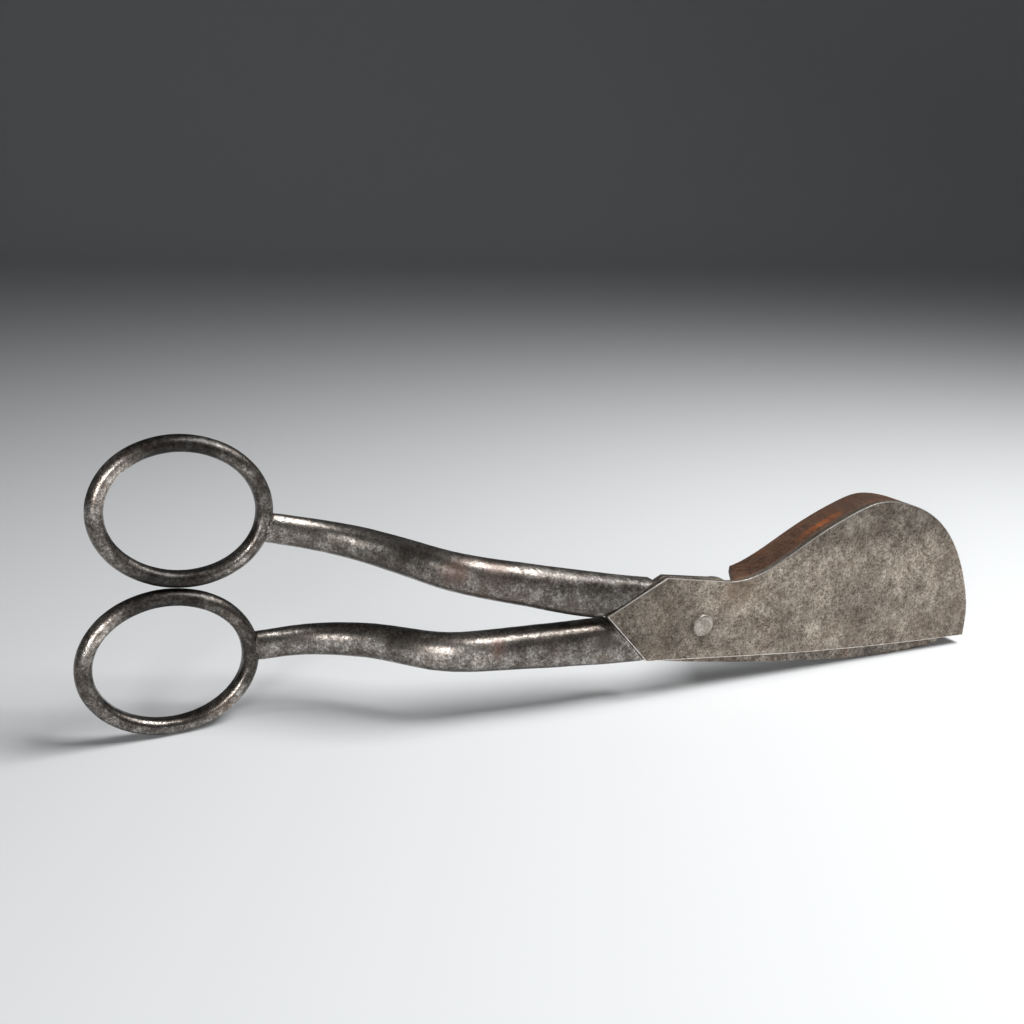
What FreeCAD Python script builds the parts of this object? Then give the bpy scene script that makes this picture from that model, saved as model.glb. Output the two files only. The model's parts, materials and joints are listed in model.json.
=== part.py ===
import FreeCAD, Part
import math
import os
from FreeCAD import Vector, Rotation, Placement

# Lamp wick trimmer: crossing scissors with a tray on one blade.
# Drawn with the pivot at the origin, X along the scissors towards the tip, Z up in the plane
# of the plates, Y = 0 on the outer face of the pan plate and growing towards the tray.
# The whole tool is turned at the end so that a bow and the blade's belly stand on Z = 0.

# ---- driving dimensions, mm ----
stand_angle = 8.10          # tip-down turn that puts bow and belly on one floor
plate_t = 1.4               # pan plate
lap_gap = 0.05              # between the two lapped plates
blade_t = 1.35              # knife blade
edge_gap = 0.15             # between a shank's shoulder and the other lever's free edge
rim_t = 1.2                 # wall of the tray
rim_top = 8.2               # height of the tray wall over the plate's outer face
rim_start = (6.0, 9.6)      # X where the wall starts, at the plate and at its top

rivet_r = 2.08
rivet_fit = 0.05            # radial clearance in the knife
rivet_lip = 0.12            # chamfer round the flush head
dome_r = 3.7
dome_h = 1.5

# the lap joint's left end is a V, the same in both plates
v_tip = (-21.2, 1.5)
v_top = (-9.6, 9.3)
v_low = (-11.3, -7.35)

# pan plate outline after the V
top_s = [(4.8, 8.8), (13.4, 11.6), (23.4, 18.6), (34.0, 24.8), (44.0, 26.2)]
nose = [(44.0, 26.2), (53.6, 23.1), (62.0, 14.6), (66.3, 5.7), (67.4, -2.2)]
pan_low = [(67.4, -2.2), (48.5, -4.1), (21.9, -6.0), (0.0, -6.9), (-11.3, -7.35)]

# knife outline
blade_belly = [(-11.02, -7.6), (7.0, -8.2), (30.0, -8.0), (50.8, -6.5), (61.8, -4.2)]
blade_tip = (62.3, -3.1)
blade_heel = (15.0, 1.6)    # where the straight cutting edge starts
head_r = 9.7                # round head of the knife, inside the tray wall's end
bevel_w = 2.4               # ground bevel on the far side of the cutting edge
bevel_left = 0.35           # thickness left at the edge

# finger bows: a bar with a flattened inner face, swept round an ellipse
bow_a = 14.62               # the bar's mid line, along X
bow_b = 12.12               # and across
bow_bar = 1.48              # half width in the bow's plane
bow_half = 1.7              # half depth
bow_at = (-96.76, 19.72, 13.72)
bow_turn = 3.53             # in its plane, degrees
bow_lean = 4.15             # out of its plane, degrees

# shank stations: X, Y, Z, half height, half depth, squareness of the section (0.75 is round)
arm = [
    (-82.4, 20.9, 11.20, 2.65, 1.60, 0.75),
    (-76.0, 21.3, 10.50, 2.80, 2.10, 0.75),
    (-69.3, 20.6, 9.75, 2.95, 2.60, 0.76),
    (-64.5, 18.8, 9.20, 3.10, 2.92, 0.76),
    (-59.7, 15.6, 8.62, 3.25, 3.10, 0.76),
    (-55.0, 11.2, 8.12, 3.40, 3.25, 0.76),
    (-50.1, 7.3, 7.60, 3.55, 3.35, 0.76),
    (-45.0, 5.7, 7.06, 3.70, 3.45, 0.77),
    (-38.0, 5.0, 6.30, 3.88, 3.50, 0.78),
    (-30.8, 4.3, 5.50, 4.12, 3.50, 0.79),
]
knife_end = [(-24.0, 3.6, 4.88, 4.30, 3.35, 0.81), (-19.5, 3.4, 4.56, 4.25, 3.20, 0.86),
             (-13.7, 3.3, 4.38, 4.00, 3.10, 0.92), (-8.0, 3.3, 4.20, 3.80, 3.10, 0.96)]
pan_end = [(-24.0, 3.7, 4.72, 4.35, 3.35, 0.81), (-19.5, 3.6, 4.28, 4.47, 3.20, 0.86),
           (-13.7, 3.6, 4.04, 4.27, 3.10, 0.92), (-8.0, 3.6, 3.82, 4.10, 3.10, 0.95)]


def at(p, y=0.0):
    return Vector(p[0], y, p[1])


def line(p, q):
    return Part.makeLine(at(p), at(q))


def curve(points, start=None, end=None):
    """Smooth curve through points of the XZ plane, with optional end directions."""
    c = Part.BSplineCurve()
    if start and end:
        c.interpolate(Points=[at(p) for p in points], InitialTangent=at(start), FinalTangent=at(end))
    else:
        c.interpolate(Points=[at(p) for p in points])
    return c


def slab(edges, y0, y1):
    """Solid with the closed outline edges, between two heights over the plate."""
    face = Part.Face(Part.Wire(Part.__sortEdges__(edges)))
    face.translate(Vector(0, y0, 0))
    return face.extrude(Vector(0, y1 - y0, 0))


def unit(p, q):
    d = math.hypot(q[0] - p[0], q[1] - p[1])
    return ((q[0] - p[0]) / d, (q[1] - p[1]) / d)


def moved(p, q, d):
    """The segment p-q moved d to its left."""
    u = unit(p, q)
    return [(a[0] - u[1] * d, a[1] + u[0] * d) for a in (p, q)]


# ---- pan plate and its tray wall ----
s_edge = curve(top_s, (1.0, 0.05), (1.0, -0.12))
nose_edge = curve(nose, (1.0, -0.12), (0.05, -1.0))
pan_edges = [line(v_tip, v_top), line(v_top, top_s[0]), s_edge.toShape(), nose_edge.toShape(),
             curve(pan_low).toShape(), line(v_low, v_tip)]
pan_plate = slab(pan_edges, 0.0, plate_t)


def inset(c, steps, d):
    """Points at distance d to the right of curve c, as XZ pairs."""
    out = []
    for i in range(steps + 1):
        t = c.FirstParameter + (c.LastParameter - c.FirstParameter) * i / steps
        p, u = c.value(t), c.tangent(t)[0]
        out.append((p.x + u.z * d, p.z - u.x * d))
    return out


inner = inset(s_edge, 6, rim_t) + inset(nose_edge, 6, rim_t)[1:]
inner_edge = curve(inner)
rim_edges = [s_edge.toShape(), nose_edge.toShape(), line(nose[-1], inner[-1]),
             inner_edge.toShape(), line(inner[0], top_s[0])]
pan_rim = slab(rim_edges, plate_t, rim_top)
rim_lean = (rim_start[1] - rim_start[0]) / (rim_top - plate_t)
slope = Part.makePolygon([Vector(-5, plate_t - 1, -20),
                          Vector(rim_start[0] - rim_lean, plate_t - 1, -20),
                          Vector(rim_start[1] + rim_lean, rim_top + 1, -20),
                          Vector(-5, rim_top + 1, -20), Vector(-5, plate_t - 1, -20)])
pan_rim = pan_rim.cut(Part.Face(slope).extrude(Vector(0, 0, 60)))

# ---- knife blade ----
y_lap = plate_t + lap_gap
y_back = y_lap + blade_t
head_a = (0.9, math.sqrt(head_r ** 2 - 0.9 ** 2) - 0.62)
head_c = (6.6, math.sqrt(head_r ** 2 - 6.6 ** 2))
head_b = (4.3, math.sqrt(head_r ** 2 - 4.3 ** 2))
blade_edges = [
    line(v_tip, v_top), line(v_top, head_a),
    Part.Arc(at(head_a), at(head_b), at(head_c)).toShape(),
    curve([head_c, (9.4, 3.6), blade_heel], (0.45, -1.0), unit(blade_heel, blade_tip)).toShape(),
    line(blade_heel, blade_tip), line(blade_tip, blade_belly[-1]),
    curve(blade_belly).toShape(), line(blade_belly[0], v_tip),
]
knife_blade = slab(blade_edges, y_lap, y_back)
ux, uz = unit(blade_heel, blade_tip)
bevel = Part.makePolygon([Vector(0, y_lap + bevel_left, 0), Vector(0, y_back + 0.01, -bevel_w),
                          Vector(0, y_back + 3, -bevel_w), Vector(0, y_back + 3, 4),
                          Vector(0, y_lap + bevel_left, 4), Vector(0, y_lap + bevel_left, 0)])
bevel = Part.Face(bevel).extrude(Vector(60, 0, 0))
bevel.rotate(Vector(0, 0, 0), Vector(0, 1, 0), -math.degrees(math.atan2(uz, ux)))
bevel.translate(at(blade_heel))
knife_blade = knife_blade.cut(bevel)
knife_blade = knife_blade.cut(Part.makeCylinder(rivet_r + rivet_fit, 20, Vector(0, -5, 0), Vector(0, 1, 0)))

# ---- pivot rivet, flush in the plate and peened to a dome behind the knife ----
y_dome = y_back + lap_gap
dome_ball = (dome_r ** 2 + dome_h ** 2) / (2 * dome_h)
rivet_profile = [
    Part.makeLine(Vector(0, 0, 0), Vector(rivet_r - rivet_lip, 0, 0)),
    Part.makeLine(Vector(rivet_r - rivet_lip, 0, 0), Vector(rivet_r, rivet_lip, 0)),
    Part.makeLine(Vector(rivet_r, rivet_lip, 0), Vector(rivet_r, y_dome, 0)),
    Part.makeLine(Vector(rivet_r, y_dome, 0), Vector(dome_r, y_dome, 0)),
    Part.Arc(Vector(dome_r, y_dome, 0),
             Vector(dome_r * 0.6, y_dome + dome_h - dome_ball
                    + math.sqrt(dome_ball ** 2 - (dome_r * 0.6) ** 2), 0),
             Vector(0, y_dome + dome_h, 0)).toShape(),
    Part.makeLine(Vector(0, y_dome + dome_h, 0), Vector(0, 0, 0)),
]
pivot_rivet = Part.Face(Part.Wire(rivet_profile)).revolve(Vector(0, 0, 0), Vector(0, 1, 0), 360)
pan_plate = pan_plate.cut(Part.makeCylinder(rivet_r, 20, Vector(0, -5, 0), Vector(0, 1, 0)))


# ---- finger bows ----
def bow(side):
    """Round bar swept round an ellipse, with a narrow flat band towards the finger."""
    r0, r1, h = bow_a - bow_bar, bow_a + bow_bar, bow_half
    flat, crest = 0.6, r0 + 1.25
    section = Part.Wire([
        Part.makeLine(Vector(r0, -flat, 0), Vector(r0, flat, 0)),
        Part.Arc(Vector(r0, flat, 0), Vector(r0 + 0.35, h - 0.42, 0), Vector(crest, h, 0)).toShape(),
        Part.Arc(Vector(crest, h, 0), Vector(r1, 0, 0), Vector(crest, -h, 0)).toShape(),
        Part.Arc(Vector(crest, -h, 0), Vector(r0 + 0.35, 0.42 - h, 0), Vector(r0, -flat, 0)).toShape()])
    path = Part.Ellipse(Vector(bow_a, 0, 0), Vector(0, 0, bow_b), Vector(0, 0, 0))
    ring = Part.Wire([path.toShape()]).makePipeShell([section], True, True)
    ring.rotate(Vector(0, 0, 0), Vector(0, 1, 0), side * bow_turn)
    ring.rotate(Vector(0, 0, 0), Vector(0, 0, 1), bow_lean)
    ring.translate(Vector(bow_at[0], bow_at[1], side * bow_at[2]))
    return ring


knife_bow = bow(1)
pan_bow = bow(-1)


# ---- shanks ----
def section(centre, along, half_z, half_y, square):
    """Closed smooth outline across the shank, from eight poles round its centre."""
    side = along.cross(Vector(0, 0, 1)).normalize()
    up = side.cross(along).normalize()
    reach = 6 / (4 + 2 * square)
    poles = []
    for y, z in ((1, 0), (1, 1), (0, 1), (-1, 1), (-1, 0), (-1, -1), (0, -1), (1, -1)):
        k = reach * (square if y and z else 1)
        poles.append(centre + side * (k * y * half_y) + up * (k * z * half_z))
    c = Part.BSplineCurve()
    c.buildFromPoles(poles, True, 3)
    return Part.Wire([c.toShape()])


def shank(stations, side):
    """Loft through the stations, for the upper (1) or the lower (-1) lever."""
    centres = [Vector(s[0], s[1], side * s[2]) for s in stations]
    wires = []
    for i, s in enumerate(stations):
        along = centres[min(i + 1, len(centres) - 1)] - centres[max(i - 1, 0)]
        wires.append(section(centres[i], along.normalize(), s[3], s[4], s[5]))
    return Part.makeLoft(wires, True, False)


def end_cutter(p, q, side, y_own0, y_own1):
    """Everything past the diagonal p-q: flush with the lever's own plate, stepped back by
    edge_gap where the other lever's free edge passes."""
    own = moved(p, q, 0.0)
    off = moved(p, q, side * edge_gap)
    u = unit(p, q)

    def block(seg, y0, y1):
        a = (seg[0][0] - 30 * u[0], seg[0][1] - 30 * u[1])
        b = (seg[1][0] + 30 * u[0], seg[1][1] + 30 * u[1])
        d = (u[1] * side * 40, -u[0] * side * 40)
        c2, d2 = (b[0] + d[0], b[1] + d[1]), (a[0] + d[0], a[1] + d[1])
        return slab([line(a, b), line(b, c2), line(c2, d2), line(d2, a)], y0, y1)

    return block(off, -10, 40).fuse(block(own, y_own0, y_own1))


knife_shank = shank(arm + knife_end, 1)
knife_shank = knife_shank.cut(end_cutter(v_tip, v_top, 1, y_lap, 40))
pan_shank = shank(arm + pan_end, -1)
pan_shank = pan_shank.cut(end_cutter(v_tip, v_low, -1, -10, plate_t))
knife_shank = knife_shank.cut(knife_bow)
pan_shank = pan_shank.cut(pan_bow)


def largest(shape):
    """Drops slivers that trimming leaves inside a bow."""
    return max(shape.Solids, key=lambda s: s.Volume)


nodes = {
    "pan_plate": pan_plate, "pan_rim": pan_rim, "pan_shank": pan_shank, "pan_bow": pan_bow,
    "knife_blade": knife_blade, "knife_shank": knife_shank, "knife_bow": knife_bow,
    "pivot_rivet": pivot_rivet,
}

# ---- stand the tool on its lower bow and belly, then centre it on the floor ----
turn = Placement(Vector(0, 0, 0), Rotation(Vector(0, 1, 0), stand_angle))
for name in nodes:
    nodes[name] = largest(nodes[name])
    nodes[name].transformShape(turn.toMatrix())
box = Part.makeCompound(list(nodes.values())).optimalBoundingBox(False)
shift = Vector(-(box.XMin + box.XMax) / 2, -(box.YMin + box.YMax) / 2, -box.ZMin)

os.makedirs("parts", exist_ok=True)
for name, shape in nodes.items():
    shape.translate(shift)
    shape.exportStep("parts/%s.step" % name)
    b = shape.optimalBoundingBox(False)
    print("%-12s valid %s solids %d volume %.1f  X %.2f..%.2f Y %.2f..%.2f Z %.2f..%.2f" % (
        name, shape.isValid(), len(shape.Solids), shape.Volume,
        b.XMin, b.XMax, b.YMin, b.YMax, b.ZMin, b.ZMax))
print("pivot at %.3f %.3f %.3f" % (shift.x, shift.y, shift.z))
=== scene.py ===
# %% [markdown]
# A lamp wick trimmer, dressed for its portrait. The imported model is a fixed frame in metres: X runs
# from the finger bows to the tip, Y from the pan's flat face to the open side of its tray, and Z is
# up from the floor that the lower bow and the blade's belly stand on.

import json
import math

import bmesh
import bpy
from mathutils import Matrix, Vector


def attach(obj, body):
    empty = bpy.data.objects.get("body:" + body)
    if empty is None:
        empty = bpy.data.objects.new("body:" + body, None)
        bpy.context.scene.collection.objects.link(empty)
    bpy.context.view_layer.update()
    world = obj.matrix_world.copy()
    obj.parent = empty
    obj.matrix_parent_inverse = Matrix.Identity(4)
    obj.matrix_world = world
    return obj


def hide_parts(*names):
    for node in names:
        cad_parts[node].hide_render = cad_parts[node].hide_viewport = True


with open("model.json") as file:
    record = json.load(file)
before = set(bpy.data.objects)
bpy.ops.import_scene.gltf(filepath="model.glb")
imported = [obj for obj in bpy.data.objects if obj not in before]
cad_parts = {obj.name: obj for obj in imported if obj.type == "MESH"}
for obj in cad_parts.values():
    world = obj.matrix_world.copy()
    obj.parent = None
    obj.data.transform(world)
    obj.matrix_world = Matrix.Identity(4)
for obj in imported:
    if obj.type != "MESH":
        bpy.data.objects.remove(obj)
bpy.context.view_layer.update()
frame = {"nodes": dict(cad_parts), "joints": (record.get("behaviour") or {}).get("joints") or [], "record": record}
MM = 0.001
print("nodes:", sorted(frame["nodes"]))

# %% [markdown]
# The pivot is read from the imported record. The scissors have a frame of their own, which is turned
# by a few degrees about the pivot: its long axis is their centre line, and it dips towards the tip
# as they stand. One small helper goes from that frame to the world, so that a direction or a place
# can be given as "so far past the pivot, so far up", as a smith would say it.

# %% The scissors' own frame
PIVOT = Vector(frame["joints"][0]["pos_m"])
STAND_ANGLE = math.radians(8.10)


def on_tool(along, up):
    """World point of a place given in millimetres from the pivot's flush head."""
    x, z = along * MM, up * MM
    return PIVOT + Vector((x * math.cos(STAND_ANGLE) + z * math.sin(STAND_ANGLE),
                           0.0,
                           -x * math.sin(STAND_ANGLE) + z * math.cos(STAND_ANGLE)))


print("pivot at", [round(v / MM, 2) for v in PIVOT], "mm")

# %% [markdown]
# The camera comes first, because every later choice is judged through it. It is a normal lens a
# hand's length away, a little above the tool and to the left of the pivot, looking down by fifteen
# degrees. The near bows therefore look large and the tip small.

# %% Camera
CAMERA_FROM_PIVOT_MM = (-120.806, -186.605, 82.034)
CAMERA_TURN_DEGREES = (74.787, -0.387, -23.217)

camera_data = bpy.data.cameras.new("portrait_camera")
camera_data.sensor_width = 36.0
camera_data.lens = 42.32
camera_data.clip_start = 0.01
camera = bpy.data.objects.new("portrait_camera", camera_data)
camera.location = PIVOT + Vector(CAMERA_FROM_PIVOT_MM) * MM
camera.rotation_euler = [math.radians(a) for a in CAMERA_TURN_DEGREES]
bpy.context.scene.collection.objects.link(camera)
bpy.context.scene.camera = camera
print("camera is", round((camera.location - PIVOT).length / MM), "mm from the pivot")

# %% [markdown]
# Operators work on whatever is selected, and loading the frame leaves it all selected. So each step
# starts by letting go of everything, and a finished piece has its place baked into its mesh, with
# its object at the origin.

# %% Small helpers for modelling


def let_go():
    """Leaves edit mode and deselects everything."""
    if bpy.context.object and bpy.context.object.mode != "OBJECT":
        bpy.ops.object.mode_set(mode="OBJECT")
    bpy.ops.object.select_all(action="DESELECT")


def pick(obj):
    """Selects one object and makes it the active one."""
    let_go()
    obj.select_set(True)
    bpy.context.view_layer.objects.active = obj


def settle(obj, name):
    """Names a finished piece and bakes its place into its mesh."""
    pick(obj)
    obj.name = name
    obj.data.name = name
    bpy.ops.object.transform_apply(location=True, rotation=True, scale=True)


# %% [markdown]
# The stage is one pale sheet: a floor that bends up into a backdrop far behind the tool. It is a
# plane whose far edge is extruded upwards, with the bend bevelled round. The lamp hangs over the
# tool, so the sheet is white near by and falls away to a soft grey with distance.

# %% Floor and backdrop
SHEET_WIDTH, SHEET_DEPTH, SHEET_RISE = 7.0, 4.4, 2.6
BEND_WIDTH = 0.9

let_go()
bpy.ops.mesh.primitive_plane_add(size=1.0, location=(0, 0, 0))
sweep_sheet = bpy.context.object
sweep_sheet.scale = (SHEET_WIDTH, SHEET_DEPTH, 1.0)
sweep_sheet.rotation_euler = (0, 0, math.radians(-23.2))  # square to the camera
bpy.ops.object.transform_apply(location=False, rotation=False, scale=True)
bpy.ops.object.mode_set(mode="EDIT")
bpy.ops.mesh.select_all(action="DESELECT")
bm = bmesh.from_edit_mesh(sweep_sheet.data)
for e in bm.edges:
    if all(v.co.y > SHEET_DEPTH / 4 for v in e.verts):
        e.select_set(True)
bmesh.update_edit_mesh(sweep_sheet.data)
bpy.ops.mesh.extrude_region_move(TRANSFORM_OT_translate={"value": (0, 0, SHEET_RISE)})
bpy.ops.object.mode_set(mode="OBJECT")
bend = sweep_sheet.modifiers.new("bend", "BEVEL")
bend.width = BEND_WIDTH
bend.segments = 16
bend.limit_method = "ANGLE"
bpy.ops.object.modifier_apply(modifier="bend")
bpy.ops.object.shade_smooth()
settle(sweep_sheet, "backdrop")

pale = bpy.data.materials.new("pale_paper")
pale.use_nodes = True
paper = pale.node_tree.nodes["Principled BSDF"]
paper.inputs["Base Color"].default_value = (0.80, 0.815, 0.825, 1)
paper.inputs["Roughness"].default_value = 0.6
sweep_sheet.data.materials.append(pale)
print("backdrop has", len(sweep_sheet.data.polygons), "faces")

# %% [markdown]
# Steel is a mirror with a skin on it, so its shape is drawn by what stands opposite. A bar that
# runs to the right throws its highlight to the right too, so the wide softbox hangs over the tool
# and to the right of it: it makes the bright streak on the upper third of each shank, and the
# shadows under them. A small lamp to the left of the camera puts a patch of light on the left curve
# of each bow. The white floor lights the lower faces, and the dark room between lamp and floor
# gives the dark band that makes a bar look round. So the world light is kept very low.

# %% Lights


def soft_lamp(name, place, aim, width, height, watts):
    """Rectangular lamp at a place in metres, turned towards its aim."""
    data = bpy.data.lights.new(name, "AREA")
    data.shape = "RECTANGLE"
    data.size, data.size_y = width, height
    data.energy = watts
    lamp = bpy.data.objects.new(name, data)
    lamp.location = place
    lamp.rotation_euler = (Vector(aim) - Vector(place)).to_track_quat("-Z", "Y").to_euler()
    bpy.context.scene.collection.objects.link(lamp)


soft_lamp("overhead_softbox", (0.215, -0.115, 0.41), (0.02, -0.02, 0.0), 0.30, 0.21, 2.75)
soft_lamp("left_card", (-0.36, -0.50, 0.19), (-0.07, 0.0, 0.03), 0.15, 0.17, 1.45)

world = bpy.data.worlds.new("studio_air")
bpy.context.scene.world = world
world.use_nodes = True
air = world.node_tree.nodes["Background"]
air.inputs["Color"].default_value = (0.92, 0.96, 1.0, 1)
air.inputs["Strength"].default_value = 0.045
bpy.context.scene.view_settings.view_transform = "Standard"

# %% [markdown]
# All the steel is one family: an oxide skin, browner or greyer by place, mottled in patches of a
# few millimetres and freckled with pits of a few tenths, with painted highlights and painted shade
# here and there. One helper builds that node tree from noises of several sizes, and each piece gets
# its own tones, grain and gloss. The pattern reads Object coordinates turned into millimetres, so it
# keeps its scale from piece to piece. Marks that lie at one place, such as a bloom of rust, are small
# balls of colour broken up by the same noise; the ones in the crevice colour are painted shade in
# creases. Shades are larger balls that only darken or lighten the skin, so that its mottling shows
# through. On the bars and bows they are painted light: a lightened skin is a painted highlight, and a
# darkened, duller one is painted shade that hides a highlight. On the plate they only darken it.

# %% Steel material helper
WAX_ROUGHNESS = 0.26
MARK_ROUGHNESS = 0.62
SHADE_ROUGHNESS = 0.54
FULL_WITHIN = 0.25      # part of a ball's radius over which it has its full strength
HEIGHT_RANGE_MM = 40.0  # span that the heights are given in
BUMP_DEPTH = 0.1 * MM


def old_steel(name, dark, mid, light, patch=3.0, grain=0.42, gloss=(0.34, 0.55), metal=0.9,
              pits=0.6, spread=0.105, drift=0.2, drift_size=14.0, relief=0.3, wax=0.0, stain=None,
              marks=(), painted_light_and_tone=(), heights=()):
    """Mottled forged steel with pits.

    dark, mid, light: tones of the skin.  patch, grain, drift_size: sizes of its mottling, of its
    pits and of its slow change of tone, in mm.  gloss: roughness where rubbed and where dull.
    wax: strength of the clear skin that hands leave, which keeps highlights white.
    stain: (colour, amount) of broad patches.  marks: (place in world mm, radius in mm, colour,
    strength), each duller than the skin round it.  painted_light_and_tone: (place, radius,
    brightness), which darken or lighten the skin and keep its mottling: painted highlights and
    painted shade, or a plainly darker tone.  heights: (mm above the floor, brightness).
    """
    m = bpy.data.materials.new(name)
    m.use_nodes = True
    t = m.node_tree
    n, link = t.nodes, t.links.new
    bsdf = n["Principled BSDF"]
    bsdf.inputs["Metallic"].default_value = metal
    bsdf.inputs["Coat Weight"].default_value = wax
    bsdf.inputs["Coat Roughness"].default_value = WAX_ROUGHNESS

    def node(kind, **values):
        made = n.new(kind)
        for key, value in values.items():
            setattr(made, key, value)
        return made

    coords = node("ShaderNodeTexCoord")
    to_mm = node("ShaderNodeVectorMath", operation="SCALE")
    to_mm.inputs["Scale"].default_value = 1.0 / MM
    link(coords.outputs["Object"], to_mm.inputs[0])

    def noise(size, detail=6.0, roughness=0.6, distortion=0.0):
        made = node("ShaderNodeTexNoise")
        made.inputs["Scale"].default_value = 1.0 / size
        made.inputs["Detail"].default_value = detail
        made.inputs["Roughness"].default_value = roughness
        made.inputs["Distortion"].default_value = distortion
        link(to_mm.outputs[0], made.inputs["Vector"])
        return made.outputs["Fac"]

    def ramp(source, *stops):
        made = node("ShaderNodeValToRGB")
        made.color_ramp.elements[0].position, made.color_ramp.elements[0].color = stops[0]
        made.color_ramp.elements[1].position, made.color_ramp.elements[1].color = stops[-1]
        for place, colour in stops[1:-1]:
            made.color_ramp.elements.new(place).color = colour
        link(source, made.inputs["Fac"])
        return made.outputs["Color"]

    def mix(factor, a, b, blend="MIX"):
        made = node("ShaderNodeMix", data_type="RGBA", blend_type=blend)
        for socket, value in ((made.inputs[0], factor), (made.inputs[6], a), (made.inputs[7], b)):
            if isinstance(value, (int, float, tuple)):
                socket.default_value = value
            else:
                link(value, socket)
        return made.outputs[2]

    def grey(v):
        return (v, v, v, 1)

    def ball(place, radius, strength):
        away = node("ShaderNodeVectorMath", operation="DISTANCE")
        away.inputs[1].default_value = place
        link(to_mm.outputs[0], away.inputs[0])
        made = node("ShaderNodeMapRange", interpolation_type="SMOOTHSTEP")
        made.inputs["From Min"].default_value = radius
        made.inputs["From Max"].default_value = radius * FULL_WITHIN
        made.inputs["To Max"].default_value = strength
        link(away.outputs["Value"], made.inputs["Value"])
        return made.outputs[0]

    broad = noise(drift_size, 3.0, 0.55, 0.3)
    mottle = mix(0.50, noise(patch, 7.0, 0.70, 0.15), noise(patch * 0.24, 6.0, 0.74))
    fine = noise(grain, 3.0, 0.6)
    skin = ramp(mottle, (0.5 - spread, dark), (0.5, mid), (0.5 + spread, light))
    slow = ramp(broad, (0.36, grey(1.0 - drift)), (0.64, grey(1.0 + drift)))
    skin = mix(1.0, skin, slow, "MULTIPLY")
    freckle = ramp(fine, (0.36, grey(0.30)), (0.46, grey(0.92)), (0.58, grey(1.05)),
                   (0.70, grey(1.6)))
    skin = mix(pits, skin, freckle, "MULTIPLY")
    if stain:
        where = ramp(noise(9.0, 7.0, 0.68, 0.8), (0.52, grey(0.0)), (0.66, grey(stain[1])))
        skin = mix(where, skin, stain[0])
    if heights:
        parts = node("ShaderNodeSeparateXYZ")
        link(to_mm.outputs[0], parts.inputs[0])
        level = node("ShaderNodeMapRange")
        level.inputs["From Max"].default_value = HEIGHT_RANGE_MM
        link(parts.outputs["Z"], level.inputs["Value"])
        shade = ramp(level.outputs[0], *[(mm / HEIGHT_RANGE_MM, grey(v)) for mm, v in heights])
        skin = mix(1.0, skin, shade, "MULTIPLY")
    dull = ramp(mottle, (0.5 - spread, grey(gloss[1])), (0.5 + spread, grey(gloss[0])))
    # Each ball multiplies the skin's colour: a painted highlight where its brightness is above one, painted shade
    # or a darker tone where it is below.
    for place, radius, brightness in painted_light_and_tone:
        where = ball(place, radius, 1.0)
        skin = mix(1.0, skin, mix(where, grey(1.0), grey(brightness)), "MULTIPLY")
        if brightness < 1.0:
            dull = mix(where, dull, grey(SHADE_ROUGHNESS))
    for place, radius, colour, strength in marks:
        ragged = ramp(mottle, (0.42, grey(0.30)), (0.56, grey(1.0)))
        where = mix(1.0, ball(place, radius, strength), ragged, "MULTIPLY")
        skin = mix(where, skin, colour)
        dull = mix(where, dull, grey(MARK_ROUGHNESS))
    link(skin, bsdf.inputs["Base Color"])
    link(dull, bsdf.inputs["Roughness"])

    bumps = node("ShaderNodeBump")
    bumps.inputs["Strength"].default_value = relief
    bumps.inputs["Distance"].default_value = BUMP_DEPTH
    height = mix(0.55, ramp(mottle, (0.3, grey(0.0)), (0.7, grey(1.0))),
                 ramp(fine, (0.32, grey(0.0)), (0.46, grey(0.8)), (0.7, grey(1.0))))
    link(height, bumps.inputs["Height"])
    link(bumps.outputs["Normal"], bsdf.inputs["Normal"])
    return m


# %% [markdown]
# The flat plates are the palest: grey-tan, a little darker towards the top of the pan and near the
# floor, and paler in a band across the middle. The tray's rim is red-brown rust, as the sheet there
# is thin and was never rubbed. The bars are darker and glossier than the plates, because hands
# polish them, and the bows are darkest of all. Both carry painted light: painted highlights on the
# bows' outer curves and along the bars, and painted shade that dims the lamp's highlight on the
# bows' tops and on the upper shank. Where two faces of the plate meet, the skin has worn through to
# bright metal.

# %% Finishes
RUST = (0.17, 0.062, 0.026, 1)
ORANGE = (0.42, 0.115, 0.028, 1)
# Painted shade: a near-black colour laid into creases, round the rivet's head on the plate and in the V where the
# lower shank meets the plate.
PAINTED_CREVICE_SHADE = (0.045, 0.036, 0.030, 1)
plate_skin = old_steel("plate_patina", (0.150, 0.118, 0.093, 1), (0.345, 0.292, 0.240, 1),
                       (0.56, 0.495, 0.415, 1), patch=3.6, grain=0.34, gloss=(0.42, 0.60),
                       metal=0.88, pits=0.85, spread=0.135, drift=0.17,
                       drift_size=8.0, relief=0.4,
                       stain=((0.21, 0.15, 0.105, 1), 0.45),
                       heights=((3, 0.78), (7, 0.86), (12, 0.88), (18, 1.04), (22, 1.08),
                                (27, 0.72), (34, 0.60)),
                       painted_light_and_tone=(((11.0, -11.8, 18.0), 19.0, 0.66),
                               ((13.5, -11.8, 25.0), 6.5, 0.72),
                               ((60.0, -11.8, 13.0), 8.0, 0.86)),
                       marks=(((31.6, -11.8, 20.0), 5.0, (0.20, 0.125, 0.08, 1), 0.5),
                              # painted shade in the crease round the rivet's head, mostly on its left
                              ((23.3, -11.8, 13.7), 3.7, PAINTED_CREVICE_SHADE, 0.95)))
knife_skin = old_steel("knife_patina", (0.09, 0.075, 0.062, 1), (0.20, 0.172, 0.145, 1),
                       (0.34, 0.31, 0.27, 1), patch=2.6, gloss=(0.38, 0.6), pits=0.8,
                       stain=(RUST, 0.3))
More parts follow.
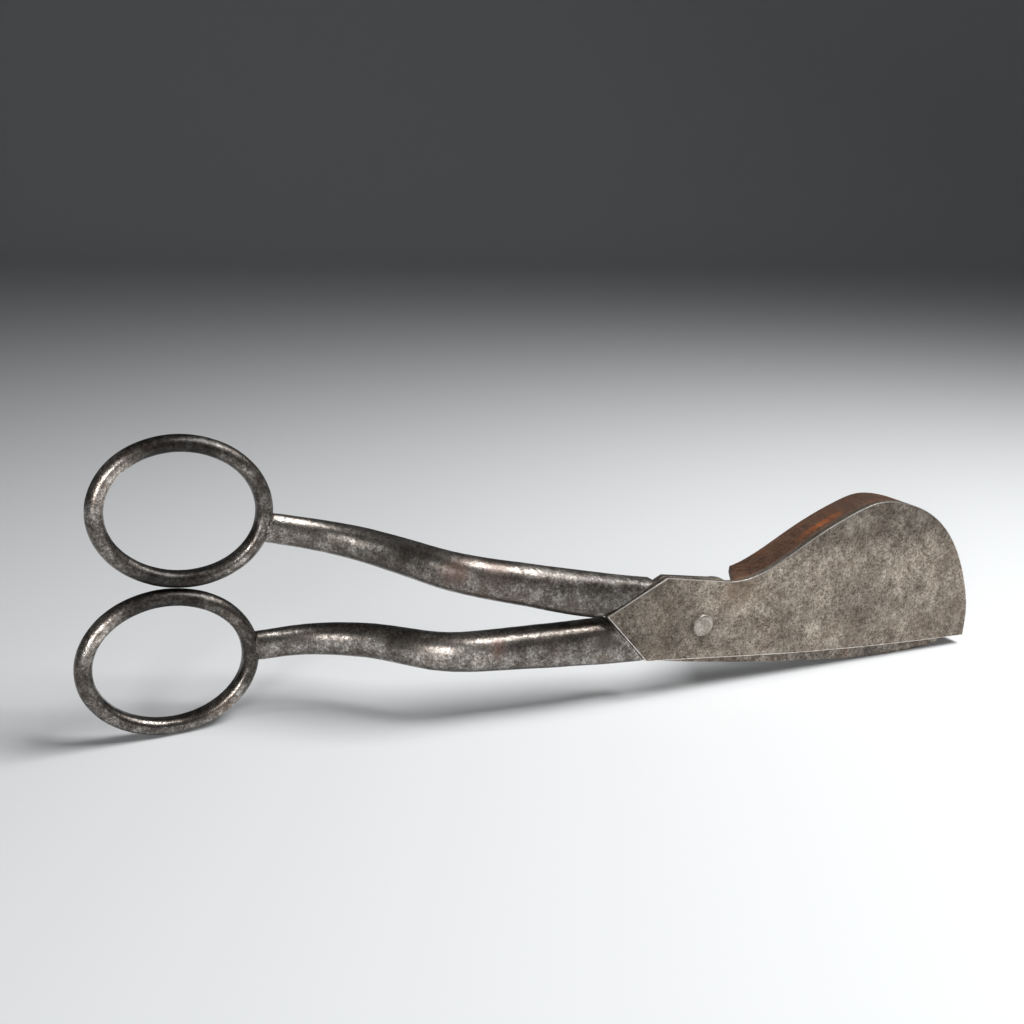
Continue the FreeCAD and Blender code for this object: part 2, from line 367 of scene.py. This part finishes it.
rim_skin = old_steel("rim_rust_brown", (0.068, 0.034, 0.022, 1), (0.145, 0.078, 0.050, 1),
                     (0.20, 0.118, 0.080, 1), patch=3.0, grain=0.5, gloss=(0.5, 0.75), metal=0.55,
                     pits=0.6, stain=((0.20, 0.070, 0.030, 1), 0.5),
                     marks=[((46.0 + 1.5 * k, -8.6, 28.0 + 0.5 * k), 1.3, ORANGE, 0.85)
                            for k in range(8)]
                     + [((61.0, -7.0, 33.5), 9.0, (0.075, 0.050, 0.038, 1), 0.8),
                        ((31.0, -7.0, 22.0), 2.2, (0.22, 0.19, 0.16, 1), 0.7)])
SHANK_MARKS = (((-26.1, -8.0, 29.2), 4.0, (0.080, 0.033, 0.020, 1), 0.85),
               ((-18.5, -8.5, 28.4), 4.5, (0.085, 0.046, 0.030, 1), 0.6),
               ((-22.0, -7.0, 32.0), 3.0, (0.110, 0.060, 0.038, 1), 0.5),
               ((-18.4, -9.0, 14.2), 2.4, (0.140, 0.045, 0.028, 1), 0.75),
               ((-8.0, -9.0, 13.5), 4.5, (0.12, 0.080, 0.058, 1), 0.4),
               # painted shade in the V where the lower shank meets the plate
               ((2.4, -10.8, 13.0), 3.4, PAINTED_CREVICE_SHADE, 0.85))
# Painted light on the shanks: the darkened, duller balls are painted shade that dims the lamp's streak on the
# upper shank, near the joint and near its bow, and the lightened ones are painted highlights along the tops of the
# bars, most of them on the lower shank.
SHANK_PAINTED_LIGHT = (((10.0, -8.0, 27.0), 16.0, 0.62), ((-4.0, -8.0, 29.5), 13.0, 0.66),
                ((-42.0, -1.5, 32.5), 9.0, 0.42),
                ((-49.0, 4.0, 36.9), 5.0, 1.7), ((-39.6, 0.0, 17.1), 6.0, 1.9),
                ((-30.0, -6.0, 17.0), 7.0, 1.9), ((-21.0, -9.0, 16.0), 7.0, 1.9))
shank_skin = old_steel("shank_patina", (0.070, 0.058, 0.050, 1), (0.185, 0.163, 0.144, 1),
                       (0.44, 0.415, 0.385, 1), patch=2.6, grain=0.36, gloss=(0.24, 0.44),
                       metal=0.95, pits=0.75, drift=0.26, wax=0.28,
                       stain=((0.105, 0.074, 0.057, 1), 0.55),
                       marks=SHANK_MARKS, painted_light_and_tone=SHANK_PAINTED_LIGHT)
# Painted light on the bows: the darkened, duller balls are painted shade on their tops and right sides, where a
# highlight falls, and the lightened ones are painted highlights on their upper left and lower right curves.
BOW_PAINTED_LIGHT = (((-70.0, 5.5, 54.0), 13.0, 0.20), ((-74.0, 5.5, 27.0), 13.0, 0.20),
              ((-55.5, 7.0, 42.0), 8.0, 0.6), ((-59.5, 7.0, 15.0), 7.0, 0.6),
              ((-83.1, 8.0, 48.5), 8.0, 3.0), ((-86.4, 8.0, 21.1), 8.0, 3.0),
              ((-61.9, 6.0, 31.7), 5.0, 1.8), ((-64.8, 6.0, 4.6), 6.0, 2.3))
bow_skin = old_steel("bow_patina", (0.047, 0.038, 0.032, 1), (0.128, 0.110, 0.096, 1),
                     (0.36, 0.335, 0.31, 1), patch=2.2, grain=0.34, gloss=(0.20, 0.38),
                     metal=0.95, pits=0.7, drift=0.25, wax=0.35,
                     stain=((0.10, 0.060, 0.043, 1), 0.5), painted_light_and_tone=BOW_PAINTED_LIGHT)
rivet_skin = old_steel("rivet_bright", (0.24, 0.21, 0.18, 1), (0.38, 0.34, 0.295, 1),
                       (0.57, 0.52, 0.465, 1), patch=1.6, grain=0.3, gloss=(0.34, 0.52),
                       metal=0.9, pits=0.45, drift=0.1)
edge_skin = old_steel("worn_edge", (0.42, 0.385, 0.34, 1), (0.74, 0.70, 0.65, 1),
                      (0.92, 0.90, 0.87, 1), patch=1.8, grain=0.3, gloss=(0.30, 0.5), metal=0.95,
                      pits=0.5, drift=0.15, relief=0.15)

skins = {"pan_plate": plate_skin, "knife_blade": knife_skin, "pan_rim": rim_skin,
         "pan_shank": shank_skin, "knife_shank": shank_skin, "pan_bow": bow_skin,
         "knife_bow": bow_skin, "pivot_rivet": rivet_skin}
print("finishes:", sorted(m.name for m in set(skins.values())))

# %% [markdown]
# Every visible piece starts as a copy of its solid. Its triangles are loose, so the copy is merged
# first. When it is finished, it is named, its solid is hidden, and it is hung on the body that
# carries it.

# %% Copy a solid, and hang the finished piece on its body
MERGE_WITHIN = 0.0005 * MM


def copy_of(node, name):
    """Merged copy of a solid's mesh, without a finish, selected and active."""
    let_go()
    piece = bpy.data.objects.new(name, frame["nodes"][node].data.copy())
    bpy.context.scene.collection.objects.link(piece)
    piece.data.materials.clear()
    pick(piece)
    bpy.ops.object.mode_set(mode="EDIT")
    bpy.ops.mesh.select_all(action="SELECT")
    bpy.ops.mesh.remove_doubles(threshold=MERGE_WITHIN)
    bpy.ops.object.mode_set(mode="OBJECT")
    return piece


def finish_piece(piece, node, name):
    """Names a finished piece, hides the solid it replaces and hangs it on the body it rides on."""
    bodies = frame["record"]["behaviour"]["bodies"]
    settle(piece, name)
    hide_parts(node)
    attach(piece, next(body for body, members in bodies.items() if node in members))
    print(name, "has", len(piece.data.polygons), "faces")


# %% [markdown]
# The bars and bows were drawn out under the hammer, so no line on them is quite true. Each is
# remeshed into small even faces and softened, and procedural displacement leaves the hammer's low
# waves and the shallow pits of old scale.

# %% Forge the round pieces
VOXEL_MM = 0.16
SHANK_WAVES_MM, BOW_WAVES_MM = 0.16, 0.10
BOW_SWELL = 0.2  # the bows come out a hair thicker, which closes the gap between them


def forge(node, name, waves, swell=0.45, shape=None):
    """Copy of a solid with low hammer waves and pits. Sizes in millimetres.

    swell: grey of the waves' texture that stays where it is, so a lower one makes a thicker bar.
    shape: what is done to the copy before it is remeshed.
    """
    piece = copy_of(node, name)
    if shape:
        shape(piece)
    remesh = piece.modifiers.new("even_faces", "REMESH")
    remesh.mode = "VOXEL"
    remesh.voxel_size = VOXEL_MM * MM
    remesh.use_smooth_shade = True
    bpy.ops.object.modifier_apply(modifier="even_faces")
    smooth = piece.modifiers.new("soften", "SMOOTH")
    smooth.factor, smooth.iterations = 0.5, 2
    bpy.ops.object.modifier_apply(modifier="soften")
    for label, depth, size in (("waves", waves, 7.0), ("pitting", 0.03, 1.3)):
        grain = bpy.data.textures.new(name + "_" + label, "CLOUDS")
        grain.noise_scale = size * MM
        grain.noise_depth = 3
        press = piece.modifiers.new(label, "DISPLACE")
        press.texture = grain
        press.texture_coords = "LOCAL"
        press.strength = depth * MM
        press.mid_level = swell
        bpy.ops.object.modifier_apply(modifier=label)
    bpy.ops.object.shade_smooth()
    piece.data.materials.append(skins[node])
    finish_piece(piece, node, name)


# %% [markdown]
# The lower shank is welded to its plate along a sloping end. Softening rounds that end off and
# would leave a bright line beside the plate, so the end is first drawn out by a few tenths of a
# millimetre. It is a little more than the gap to the knife behind the plate, and the two visible
# pieces cross there by less than 0.2 mm, out of sight.

# %% Weld the lower shank, and forge all four round pieces
SLOPE_AT_PLATE = (0.6664, 0.7455)  # the sloping end's normal, along and up on the tool
WELD_MM = 0.3
FACES_THE_SLOPE = 0.99  # smallest cosine between a face's normal and the slope's


def weld_to_plate(piece):
    """Lengthens the lower shank's sloping end by a hair, so that it runs into its plate."""
    towards_plate = (on_tool(*SLOPE_AT_PLATE) - PIVOT).normalized()
    bpy.ops.object.mode_set(mode="EDIT")
    bpy.ops.mesh.select_mode(type="FACE")
    bpy.ops.mesh.select_all(action="DESELECT")
    bm = bmesh.from_edit_mesh(piece.data)
    for f in bm.faces:
        f.select_set(f.normal.dot(towards_plate) > FACES_THE_SLOPE)
    bmesh.update_edit_mesh(piece.data)
    print("sloping end:", sum(f.select for f in bm.faces), "faces")
    bpy.ops.transform.translate(value=towards_plate * WELD_MM * MM)
    bpy.ops.object.mode_set(mode="OBJECT")


forge("pan_shank", "pan_shank_forged", SHANK_WAVES_MM, shape=weld_to_plate)
forge("knife_shank", "knife_shank_forged", SHANK_WAVES_MM)
forge("pan_bow", "pan_bow_forged", BOW_WAVES_MM, swell=BOW_SWELL)
forge("knife_bow", "knife_bow_forged", BOW_WAVES_MM, swell=BOW_SWELL)

# %% [markdown]
# The plates, the rim and the rivet were filed flat, and their edges are still crisp. So they keep
# their flat faces: the merged copy has its flat triangles dissolved, and a bevel modifier cuts a
# hairline along each edge. Its material index gives the hairline a finish of its own, which on the
# pan's plate is the bright metal that shows where the skin has rubbed away.

# %% File the flat pieces
FLAT_WITHIN = math.radians(0.5)
CRISP_OVER = math.radians(38)
SMOOTH_UNDER = math.radians(24)


def file_flat(node, name, hairline, skin_of_edge=edge_skin, segments=2, shape=None):
    """Copy of a solid with flat faces and a narrow bevel, in millimetres.

    shape: what is done to the copy before its edges are bevelled.
    """
    piece = copy_of(node, name)
    bpy.ops.object.mode_set(mode="EDIT")
    bpy.ops.mesh.select_all(action="SELECT")
    bpy.ops.mesh.dissolve_limited(angle_limit=FLAT_WITHIN)
    bpy.ops.object.mode_set(mode="OBJECT")
    if shape:
        shape(piece)
    piece.data.materials.append(skins[node])
    piece.data.materials.append(skin_of_edge)
    wear = piece.modifiers.new("hairline", "BEVEL")
    wear.width = hairline * MM
    wear.segments = segments
    wear.limit_method = "ANGLE"
    wear.angle_limit = CRISP_OVER
    wear.material = 1
    bpy.ops.object.modifier_apply(modifier="hairline")
    pick(piece)
    bpy.ops.object.shade_smooth_by_angle(angle=SMOOTH_UNDER)
    finish_piece(piece, node, name)


file_flat("pan_plate", "pan_plate_filed", 0.17)
file_flat("knife_blade", "knife_blade_filed", 0.10, skin_of_edge=knife_skin)
file_flat("pan_rim", "pan_rim_bent", 0.12, skin_of_edge=rim_skin)

# %% [markdown]
# The rivet's head was hammered down into its hole until it stood only a hair above the plate and
# spread a little over the hole's edge. So the front of the copy is pulled out and widened by a few
# tenths, and its middle is inset twice and pulled again, which makes a low crown.

# %% Set the rivet
HEAD_RISE_MM, HEAD_SPREAD = 0.34, 1.09
CROWN_STEPS, CROWN_INSET_MM, CROWN_RISE_MM = 2, 0.55, 0.07


def crown_head(piece):
    """Raises, spreads and crowns the rivet's front face."""
    front = min(v.co.y for v in piece.data.vertices)
    bpy.ops.object.mode_set(mode="EDIT")
    bpy.ops.mesh.select_mode(type="FACE")
    bpy.ops.mesh.select_all(action="DESELECT")
    bm = bmesh.from_edit_mesh(piece.data)
    for f in bm.faces:
        f.select_set(f.normal.y < -0.99 and f.calc_center_median().y < front + 0.05 * MM)
    bmesh.update_edit_mesh(piece.data)
    bpy.ops.transform.translate(value=(0, -HEAD_RISE_MM * MM, 0))
    bpy.ops.transform.resize(value=(HEAD_SPREAD, 1, HEAD_SPREAD), center_override=PIVOT)
    for _ in range(CROWN_STEPS):
        bpy.ops.mesh.inset(thickness=CROWN_INSET_MM * MM)
        bpy.ops.transform.translate(value=(0, -CROWN_RISE_MM * MM, 0))
    bpy.ops.object.mode_set(mode="OBJECT")


file_flat("pivot_rivet", "pivot_rivet_set", 0.18, skin_of_edge=rivet_skin, segments=3,
          shape=crown_head)
